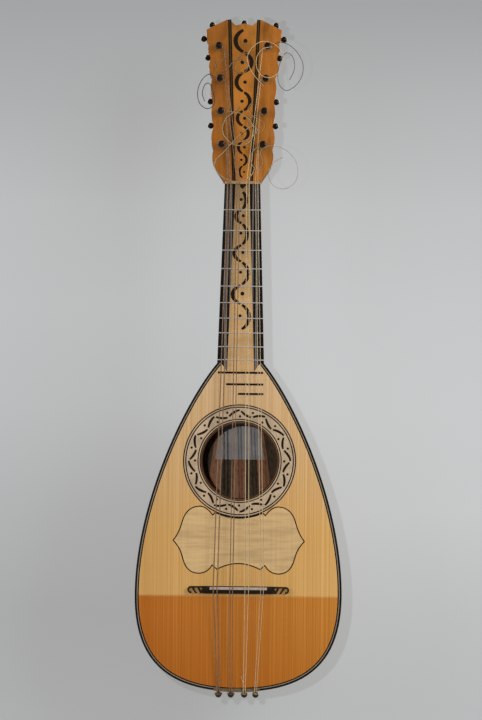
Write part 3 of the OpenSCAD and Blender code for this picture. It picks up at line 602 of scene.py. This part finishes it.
def shell(us, vs, outer, inner):
    """A shell of the bowl; outer and inner are depths at each of the rib edges vs."""
    return layered([place(bowl_point(u, v, depth[j])) for depth in (outer, inner)
                    for u in us for j, v in enumerate(vs)], len(us), len(vs))


RIB_STEPS, RIB_ACROSS = 60, 6
SHELL_END = 1.985            # the last station, just short of the tail
SEAM = 0.0005                # half a gap between ribs, as a share of a rib
rib_us = [SHELL_END * i / RIB_STEPS for i in range(RIB_STEPS + 1)]
swell = [0.22 * (2 * j / RIB_ACROSS - 1) ** 4 for j in range(RIB_ACROSS + 1)]
rib_pieces = {0: [], 1: []}
for i in range(RIBS):
    vs = [i + SEAM + (1 - 2 * SEAM) * j / RIB_ACROSS for j in range(RIB_ACROSS + 1)]
    rib_pieces[i % 2].append(shell(rib_us, vs, [BAND_GAP + d for d in swell],
                                   [BAND_GAP + RIB_T] * (RIB_ACROSS + 1)))
# the ribs' inner faces get the lighter inside finishes, which carry painted light
for kind, name, outer, inner, node in (
        (0, "ribs_dark", "rosewood", "rosewood_inside", "bowl_ribs_dark"),
        (1, "ribs_brown", "brown_rib", "brown_inside", "bowl_ribs_brown")):
    piece = add(name, joined(*rib_pieces[kind]), outer, stands_for=[node])
    piece.data.materials.append(MATS[inner])
    skins = 2 * RIB_STEPS * RIB_ACROSS
    all_faces = len(piece.data.polygons) // len(rib_pieces[kind])
    for polygon in piece.data.polygons:
        face = polygon.index % all_faces
        if face < skins and face % 2:
            polygon.material_index = 1


def half_band(side):
    """One side of the capping strip round the lower rim, deepest at the tail."""
    first, last, across_steps = 0.75, 1.997, 8
    us = [first + (last - first) * i / RIB_STEPS for i in range(RIB_STEPS + 1)]
    rings = {0: [], 1: []}
    for u in us:
        z = station(u)[1]
        d = back_y(z) - TOP_T - bend(z)
        depth = lerp(9, 27, ((u - first) / (2 - first)) ** 2)
        a = math.degrees(math.asin(min(1, depth / d)))
        # the rib edge at that depth, which is bowl_point()'s turn the other way round, near enough
        turn = RIBS * (a + 5 * math.sin(math.radians(1.85 * a)) * (1 - a / 90)) / 180
        for k, inwards in enumerate((0, BAND_GAP - 0.25)):
            for j in range(across_steps + 1):
                rounding = 0.3 * (j / across_steps) ** 8 if k == 0 else 0
                q = bowl_point(u, turn * j / across_steps, inwards + rounding)
                rings[k].append(place((side * max(0, q.x), q.y, q.z)))
    return layered(rings[0] + rings[1], len(us), across_steps + 1)


add("capping_strip", joined(half_band(1), half_band(-1)), "rosewood", stands_for=["rim_band"])

LABEL_UP, LABEL_ACROSS = 14, 22          # steps of the label
LABEL_HALF = 2.2                         # half its width, in ribs
label_us = [lerp(1 / 3, 0.5, i / LABEL_UP) for i in range(LABEL_UP + 1)]
label_vs = [RIBS / 2 + lerp(-LABEL_HALF, LABEL_HALF, j / LABEL_ACROSS) for j in range(LABEL_ACROSS + 1)]
cockle = [BAND_GAP + RIB_T + 0.06 * math.sin(2.3 * j) for j in range(LABEL_ACROSS + 1)]
add("paper_label", shell(label_us, label_vs, [c + 0.5 for c in cockle], [c + 0.7 for c in cockle]),
    "label_paper", stands_for=["label"])

# ------------------------------------------------------------------ neck and frets

NECK_D = 17


def board_half(z):
    return lerp(NUT_HALF, JOINT_HALF, z / JOINT_Z)


def neck_back(z):
    return (NECK_D + 5 * z / JOINT_Z + (HEEL + TOP_T - NECK_D - 5)
            * max(0, (z + 105) / (JOINT_Z + 105)) ** 2)


def neck_ring(z):
    depth = neck_back(z) - TOP_T
    return [place((board_half(z) * math.cos(a), TOP_T + depth * math.sin(a) ** 0.85, z))
            for a in (math.pi * k / NECK_ROUND for k in range(NECK_ROUND + 1))]


NECK_STEPS, NECK_ROUND = 40, 32
add("neck_shaft", loft([neck_ring(JOINT_Z * i / NECK_STEPS) for i in range(NECK_STEPS + 1)]),
    "neck_wood", stands_for=["neck"])

FRET_START, SCALE = 3.4, 333.2           # where the frets' spacing starts, and its string length
FRETS, FRET_H, FRET_HALF_W = 10, 0.8, 0.46


def fret_z(n):
    return -FRET_START - SCALE * (1 - 2 ** (-n / 12))


def crowned(n):
    """A fret with a round crown, its ends filed back."""
    z, half = fret_z(n), board_half(fret_z(n))
    arc = [(math.cos(a), math.sin(a)) for a in (math.pi * k / 8 for k in range(9))]
    rings = []
    for x, size in ((-half, 0.35), (-half + 0.25, 0.75), (-half + 0.8, 1), (half - 0.8, 1),
                    (half - 0.25, 0.75), (half, 0.35)):
        ring = [(x, -0.02 - (FRET_H - 0.02) * size * b, z + FRET_HALF_W * a) for a, b in arc]
        ring += [(x, -0.005, z - FRET_HALF_W), (x, -0.005, z + FRET_HALF_W)]
        rings.append([place(p) for p in ring])
    section = ((-0.02, -0.24), (1.2, -0.24), (1.2, 0.24), (-0.02, 0.24))
    tang = [[place((x, y, z + w)) for y, w in section] for x in (-half + 0.05, half - 0.05)]
    return joined(loft(rings), loft(tang))


add("fret_wires", joined(*[crowned(n) for n in range(1, FRETS + 1)]), "fret_metal",
    stands_for=["frets"])

# ------------------------------------------------------------------ pegs, studs and pins

# each peg: across and up the head, and how far its grip is turned
PEGS = [(-18.3, 32.3), (-19.2, 60.8), (-20.1, 88.7), (-21.4, 116.4),
        (16.9, 32.3), (17.8, 60.8), (18.7, 88.7), (20, 116.4)]
PEG_TURNS = [25, -40, 60, 10, -20, 45, -65, 15]
# the string on each peg: across at the nut, at the bridge and at the pins, radius
STRINGS = [(-12.5, -21.4, -16.9, 0.45), (-10.2, -18, -15.1, 0.45),
           (-4.7, -7.2, -6.3, 0.35), (-2.4, -4.8, -4.5, 0.35),
           (13, 21.6, 16.5, 0.22), (10.9, 19.2, 14.7, 0.22),
           (5.8, 8.8, 6.9, 0.27), (3.5, 5.7, 5.1, 0.27)]
PEG_R = 2.7
PEG_SIDES, COIL_STEPS = 32, 20
WINDING_AT = 2.2             # how far in front of the head's face a coil starts
COIL_LENGTH = 65             # its steps
# the peg from its front end back: distance behind the head's face, half thickness, half width
PEG_SHAPE = [(-11.5, 1.5, 1.5), (-11.35, 2.1, 2.1), (-11, 2.5, 2.5), (-10.5, 2.68, 2.68),
             (-9.6, 2.7, 2.7), (0, 2.7, 2.7), (12.3, 2.7, 2.7), (12.4, 3.5, 3.5), (12.6, 3.95, 3.95),
             (13, 4.18, 4.18), (13.6, 4.2, 4.2), (14, 4, 4), (14.3, 3.3, 3.3), (14.6, 2.6, 2.6),
             (15.2, 2.1, 2.2), (16.2, 1.8, 2.2), (17.2, 1.8, 2.7), (18, 1.78, 3.5), (19, 1.7, 4.5),
             (20.4, 1.55, 5.7), (22, 1.4, 6.7), (24, 1.3, 7.3), (25.6, 1.28, 7.4),
             (27.4, 1.32, 7.15), (29.2, 1.42, 6.4), (30.6, 1.55, 5.3), (31.7, 1.65, 4.1),
             (32.4, 1.6, 2.9), (32.8, 1.3, 1.8), (33, 1.4, 1.5), (33.4, 1.72, 1.75),
             (33.9, 1.7, 1.7), (34.35, 1.25, 1.25), (34.58, 0.6, 0.6)]

for number, ((px, pz), turn, string) in enumerate(zip(PEGS, PEG_TURNS, STRINGS), 1):
    turn = math.radians(turn)
    rings = []
    for y, thick, wide in PEG_SHAPE:
        ring = []
        for k in range(PEG_SIDES):
            a = 2 * math.pi * k / PEG_SIDES
            x, z = thick * math.cos(a), wide * math.sin(a)
            ring.append(place(on_head(px + x * math.cos(turn) + z * math.sin(turn), y,
                                      up_head(pz) - x * math.sin(turn) + z * math.cos(turn))))
        rings.append(ring)
    body = f"tuning_peg_{number}"
    add(f"turned_peg_{number}", loft(rings), "peg_wood", body, [f"peg_{number}"], 50)
    r = string[3]
    coil = []
    for k in range(COIL_LENGTH):
        a = 2 * math.pi * k / COIL_STEPS
        coil.append(on_head(px + (PEG_R + r) * math.cos(a),
                            -WINDING_AT - r - 2 * r * 1.01 * k / COIL_STEPS,
                            up_head(pz) + (PEG_R + r) * math.sin(a)))
    kind = "wound_string" if number <= 4 else "worn_gut"
    add(f"string_turns_{number}", tube(coil, r * 0.98, 8), kind, body, [f"winding_{number}"], 60)

STUDS = [(27.2, 136.5), (34.2, 124.6), (30.4, 108.5), (28, 71.1), (27.5, 50.5)]
STUD_R = 2.6
# a stud's shank and collar, then its ball: distance from the ball's centre, radius
BALL = ([(-6, 0.95), (-2.75, 1), (-2.7, 1.5), (-2.4, 1.7), (-2.15, 1.5)]
        + [(-STUD_R * math.cos(a), STUD_R * math.sin(a))
           for a in (math.radians(d) for d in range(38, 178, 10))]
        + [(STUD_R - 0.002, 0.08)])
balls = [turned(BALL, on_head(0, HEAD_T / 2, STUD_S), on_head(0, 0, 1))]
for side in (-1, 1):
    for k, (x, z) in enumerate(STUDS):
        lean = math.radians(25 if k == 0 else 90)
        balls.append(turned(BALL, on_head(side * x, HEAD_T / 2, up_head(z)),
                            on_head(side * math.sin(lean), 0, math.cos(lean))))
add("ball_studs", joined(*balls), "ebony", stands_for=["head_studs"])

PINS = [-16, -5.4, 6, 15.6]
PIN_OF = (0, 0, 1, 1, 3, 3, 2, 2)        # the pin of each string
PIN_Y, PIN_R = 24, 2.7
PIN_Z = -TAIL_Z - PIN_R + 0.1
PIN_SHAPE = ([(-PIN_R * math.cos(a), max(0.08, PIN_R * math.sin(a)))
              for a in (math.radians(d) for d in range(0, 156, 10))] + [(2.6, 1.02), (12, 1)])
add("pin_balls", joined(*[turned(PIN_SHAPE, (x, PIN_Y, PIN_Z), (0, 0, 1)) for x in PINS]),
    "pin_horn", stands_for=["hitch_pins"])

# ------------------------------------------------------------------ strings

NUT_H, BRIDGE_H, STRING_GAP = 1.5, 6.6, 0.35
NUT_CROWN_Z, SADDLE_CROWN_Z = 1.2, -343.9


def string_route(k):
    """From the pin over the edge guard, the saddle and the nut to the side of the peg."""
    at_nut, at_bridge, at_pin, r = STRINGS[k]
    px, pz = PEGS[k]
    side = 1 if px < 0 else -1
    n_y = -NUT_H - r - 0.03
    n = (at_nut, n_y * math.sin(TILT) + NUT_CROWN_Z * math.cos(TILT))
    c = (px, up_head(pz))
    reach = PEG_R + 3 * r + STRING_GAP
    far = math.hypot(n[0] - c[0], n[1] - c[1])
    a = math.atan2(n[1] - c[1], n[0] - c[0]) + side * math.acos(reach / far)
    pin = PINS[PIN_OF[k]]
    start = (lerp(at_pin, pin, 0.5), PIN_Y - 3.2, PIN_Z + 0.9)
    return [start, (at_pin * 1.01, 17.5, -TAIL_Z - 1.9),
            (at_pin, bend(-TAIL_Z) - 0.9 - r, -TAIL_Z - 0.2 - r),
            (at_bridge, -BRIDGE_H - r - 0.03, SADDLE_CROWN_Z), (at_nut, n_y, NUT_CROWN_Z),
            on_head(c[0] + reach * math.cos(a), -WINDING_AT - 1.5 * r, c[1] + reach * math.sin(a))]


EASE, EASE_STEPS = 1.0, 4                # how far from a bend its curve starts


def eased(points):
    """The same line with a small curve at each bend."""
    points = [Vector(p) for p in points]
    out = [points[0]]
    for before, p, after in zip(points, points[1:], points[2:]):
        a = p + (before - p).normalized() * min(EASE, (before - p).length / 2.2)
        b = p + (after - p).normalized() * min(EASE, (after - p).length / 2.2)
        out += [a * (1 - t) ** 2 + p * 2 * t * (1 - t) + b * t * t
                for t in (i / EASE_STEPS for i in range(EASE_STEPS + 1))]
    return out + [points[-1]]


def loop_end(k):
    """The twisted loop that ties a string's end round its pin."""
    at_pin, r = STRINGS[k][2:]
    pin = PINS[PIN_OF[k]]
    low = 0.4 + 0.75 * (k % 2)
    ring_r = math.sqrt((PIN_R + r + 0.05) ** 2 - low ** 2)
    around = [(pin + ring_r * math.sin(a), PIN_Y - ring_r * math.cos(a), PIN_Z + low)
              for a in (2 * math.pi * i / 36 for i in range(36))]
    ring = tube(around, r * 0.9, 8)
    a, b = Vector((at_pin * 1.01, 17.2, -TAIL_Z - 1.9)), Vector(around[0])
    axis = (b - a).normalized()
    side = axis.orthogonal().normalized()
    other = axis.cross(side)
    twist = [a.lerp(b, i / 24) + 1.9 * r * (side * math.cos(i * 0.8) + other * math.sin(i * 0.8))
             for i in range(25)]
    return joined(ring, tube(twist, r * 0.75, 8))


# short cut ends that stand up from the knots: string, then how far across and up the tip is
WHISKERS = ((6, -3.6, 13), (7, 0.8, 15), (5, 1.5, 9), (0, -2.2, 8))
WHISKER_R = 0.14


def whisker(k, across, up):
    at_pin = STRINGS[k][2]
    y = bend(-TAIL_Z) - 2.2
    route = [(at_pin + 0.6, y, -TAIL_Z - 1), (at_pin + across * 0.3, y - 1, -TAIL_Z + up * 0.4),
             (at_pin + across, y - 1.5, -TAIL_Z + up)]
    return tube(catmull(route, 5), WHISKER_R, 6)


for first, node, kind in ((0, "strings_g", "wound_string"), (2, "strings_d", "wound_string"),
                          (4, "strings_e", "gut_string"), (6, "strings_a", "gut_string")):
    solids = [tube(eased(string_route(k)), STRINGS[k][3], 12) for k in (first, first + 1)]
    solids += [loop_end(k) for k in (first, first + 1)]
    solids += [whisker(*row) for row in WHISKERS if row[0] in (first, first + 1)]
    add(f"course_{node[-1]}", joined(*solids), kind, stands_for=[node], smooth=60)

for node, width in (("head", 0.22), ("nut", 0.3), ("bridge_saddle", 0.35), ("bridge", 0.4),
                    ("edge_guard", 0.4), ("top_frets", 0.25), ("fingerboard_edges", 0.1)):
    softened(node, width)

# ------------------------------------------------------------------ free ends of the strings

# each end's path from its peg, in the design frame
TAILS = [
    [[-13, -2, 33], [-6, -3, 35], [2, -5, 37], [9, -7, 41], [12, -8, 46], [8, -8, 49],
        [0, -8, 44], [-8, -7, 36], [-16, -6, 27], [-22, -6, 21], [-24, -6, 15],
        [-21, -7, 9], [-16, -7, 5], [-8, -8, 2], [2, -8, 3], [8, -8, 8], [10, -8, 14]],
    [[-14, 2, 62], [-9, 0, 61], [-3, -2, 60], [4, -4, 56], [8, -5, 50],
        [9, -5, 43], [6, -6, 36], [0, -6, 33], [-7, -5, 33], [-13, -4, 37],
        [-17, -4, 43], [-17, -5, 50], [-14, -6, 56], [-9, -7, 60], [-4, -7, 65]],
    [[-25, 6, 90], [-29, 5, 93], [-34, 4, 90], [-38, 4, 83], [-39, 4, 75],
        [-37, 3, 68], [-32, 3, 64], [-27, 3, 65], [-25, 3, 70], [-26, 3, 78],
        [-29, 3, 85], [-33, 4, 84], [-35, 4, 77], [-33, 4, 70]],
    [[-17, 11, 113], [-13, 10, 110], [-16, 9, 106], [-22, 8, 104], [-24, 8, 99],
        [-19, 8, 96], [-13, 8, 99], [-9, 8, 104], [-3, 8, 106], [3, 8, 102],
        [2, 7, 96], [-4, 7, 94], [-9, 7, 97], [-8, 7, 103], [-2, 7, 110], [6, 7, 111]],
    [[12, -2, 31], [8, -4, 27], [7, -5, 20], [10, -6, 13], [15, -6, 13],
        [17, -6, 20], [15, -6, 27], [20, -6, 32], [29, -5, 32], [38, -4, 28],
        [45, -3, 20], [47, -2, 9], [43, -2, 0], [34, -3, -4], [25, -4, 0],
        [22, -5, 9], [26, -5, 18], [34, -5, 23]],
    [[13, 2, 59], [8, 1, 57], [4, 0, 52], [6, 0, 46], [12, 0, 43],
        [17, 0, 46], [18, 0, 51], [14, -2, 55], [8, -2, 58], [4, -1, 64],
        [8, 0, 70]],
    [[17, 7, 84], [11, 5, 90], [5, 4, 99], [3, 4, 108], [7, 5, 116],
        [14, 6, 121], [22, 7, 121], [30, 8, 116], [34, 8, 107], [31, 7, 97],
        [24, 3, 91], [16, 2, 92], [11, 2, 99], [11, 3, 108], [16, 4, 115],
        [24, 5, 117]],
    [[24, 13, 118], [30, 12, 121], [38, 12, 119], [45, 12, 113], [50, 12, 104],
        [50, 12, 94], [45, 12, 85], [37, 11, 80], [31, 10, 84], [29, 10, 93],
        [31, 10, 104], [36, 10, 112], [42, 10, 108], [43, 10, 98], [39, 10, 89]]]
TAIL_FINISH = ("worn_gut", "worn_gut", "dark_wire", "wound_string",
               "pale_gut", "worn_gut", "gut_string", "dark_wire")


for number, (route, string, kind) in enumerate(zip(TAILS, STRINGS, TAIL_FINISH), 1):
    radius = string[3]
    line = [place(p) for p in catmull(route, 6)]
    curve = bpy.data.curves.new(f"string_end_{number}", "CURVE")
    curve.dimensions = "3D"
    curve.bevel_depth = radius / 1000
    curve.bevel_resolution = 3
    curve.use_fill_caps = True
    spline = curve.splines.new("POLY")
    spline.points.add(len(line) - 1)
    for point, p in zip(spline.points, line):
        point.co = (*p, 1)
    spline.use_smooth = True
    tail = bpy.data.objects.new(f"string_end_{number}", curve)
    scene.collection.objects.link(tail)
    curve.materials.append(MATS[kind])
    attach(tail, "root")
    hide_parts(f"tail_{number}")

# ------------------------------------------------------------------ stage and light

# metres in the row frame
WALL_Y, FLOOR_Z = 0.098, -0.78
SWEEP_R, SWEEP_STEPS = 0.25, 12
WALL_TOP, FLOOR_FRONT, WALL_HALF = 3.0, 4.0, 4
# painted light and shade on the wall, from SHADE_TOP down to SHADE_FOOT, left and right of the object:
# a painted pool of light in the middle, with painted shade to the object's left
SHADE_TOP, SHADE_FOOT = 0.02, -0.59
PAINTED_WALL_LEFT = (0.375, 0.44, 0.52, 0.54, 0.52, 0.47, 0.435, 0.45)
PAINTED_WALL_RIGHT = (0.375, 0.475, 0.55, 0.59, 0.61, 0.61, 0.555, 0.515)
# the wall's own glow is warm, which warms the shadows, and what the lamps add is cool, so that the
# lit wall is neutral
GLOW_TINT, LIT_TINT = (1.02, 1.0, 0.965), (0.90, 1.0, 1.12)
WALL_LIT = 0.35              # the share of its brightness that the lamps give it


def sweep():
    """A wall that curves into a floor, seen only from its front."""
    profile = [(WALL_Y, WALL_TOP), (WALL_Y, FLOOR_Z + SWEEP_R)]
    for k in range(1, SWEEP_STEPS + 1):
        a = math.radians(90 * k / SWEEP_STEPS)
        profile.append((WALL_Y - SWEEP_R * (1 - math.cos(a)), FLOOR_Z + SWEEP_R * (1 - math.sin(a))))
    profile.append((WALL_Y - FLOOR_FRONT, FLOOR_Z))
    points = [(x, y, z) for y, z in profile for x in (-WALL_HALF, WALL_HALF)]
    faces = [(2 * i, 2 * i + 2, 2 * i + 3, 2 * i + 1) for i in range(len(profile) - 1)]
    mesh = bpy.data.meshes.new("backdrop")
    mesh.from_pydata(points, [], faces)
    for polygon in mesh.polygons:
        polygon.use_smooth = True
    wall = bpy.data.objects.new("backdrop", mesh)
    scene.collection.objects.link(wall)
    n = Nodes("backdrop")
    height = n.new("ShaderNodeMapRange")
    n.link(n.axis("Z"), height.inputs["Value"])
    height.inputs["From Min"].default_value = SHADE_TOP
    height.inputs["From Max"].default_value = SHADE_FOOT
    painted_light_side = n.new("ShaderNodeMapRange")
    n.link(n.axis("X"), painted_light_side.inputs["Value"])
    painted_light_side.inputs["From Min"].default_value = -0.06
    painted_light_side.inputs["From Max"].default_value = 0.1
    painted_light_side.interpolation_type = "SMOOTHSTEP"
    # painted light and shade: the wall is brightest in the middle and darker left of the object, where
    # its broad shadow falls
    left = n.ramp(height.outputs[0], [(k / 7, grey(v)) for k, v in enumerate(PAINTED_WALL_LEFT)])
    right = n.ramp(height.outputs[0], [(k / 7, grey(v)) for k, v in enumerate(PAINTED_WALL_RIGHT)])
    tone = n.mix(painted_light_side.outputs[0], left, right)
    n.colour(n.times(tone, tinted(LIT_TINT, WALL_LIT)))
    n.link(n.times(tone, GLOW_TINT), n.bsdf.inputs["Emission Color"])
    n.bsdf.inputs["Emission Strength"].default_value = 1 - WALL_LIT
    n.bump(n.noise((900, 900, 900), 2, 0.5), 0.0001, 0.2)
    n.set(Roughness=0.9, Specular_IOR_Level=0.1)
    either = n.new("ShaderNodeMixShader")
    n.link(n.new("ShaderNodeNewGeometry").outputs["Backfacing"], either.inputs[0])
    n.link(n.bsdf.outputs[0], either.inputs[1])
    n.link(n.new("ShaderNodeBsdfTransparent").outputs[0], either.inputs[2])
    n.link(either.outputs[0], n.tree.nodes["Material Output"].inputs["Surface"])
    mesh.materials.append(n.mat)
    wall.visible_diffuse = False
    wall.visible_glossy = False
    wall.visible_transmission = False
    wall.visible_shadow = False


def area(name, at, size, watts, shines=True):
    """A lamp that faces the object's middle; the varnish mirrors it only if it shines."""
    light = bpy.data.lights.new(name, "AREA")
    light.shape = "RECTANGLE"
    light.size, light.size_y = size
    light.energy = watts
    light.color = WARM
    lamp = bpy.data.objects.new(name, light)
    scene.collection.objects.link(lamp)
    lamp.location = at
    lamp.visible_camera = False
    lamp.visible_glossy = shines
    lamp.rotation_mode = "QUATERNION"
    lamp.rotation_quaternion = (Vector(MIDDLE) - Vector(at)).to_track_quat("-Z", "Y")


MIDDLE = (0, 0, -0.29)
WARM = (1, 0.985, 0.96)
WORLD_STRENGTH = 0.14
sweep()
world = bpy.data.worlds.new("world")
world.use_nodes = True
background = world.node_tree.nodes["Background"]
background.inputs["Color"].default_value = (0.9, 0.9, 0.9, 1)
background.inputs["Strength"].default_value = WORLD_STRENGTH
scene.world = world
area("window", (2.4, -2.4, 1.1), (1.6, 2.0), 66)
area("room", (-2.5, -2.0, 0.6), (2.0, 2.0), 38, shines=False)
area("flash", (-0.26, -4.4, -0.2), (0.05, 0.05), 72, shines=False)
area("back_left", (-1.3, 2.4, 0.6), (1.6, 1.6), 40)
area("back_right", (1.5, 2.2, 0.3), (1.6, 1.6), 45)
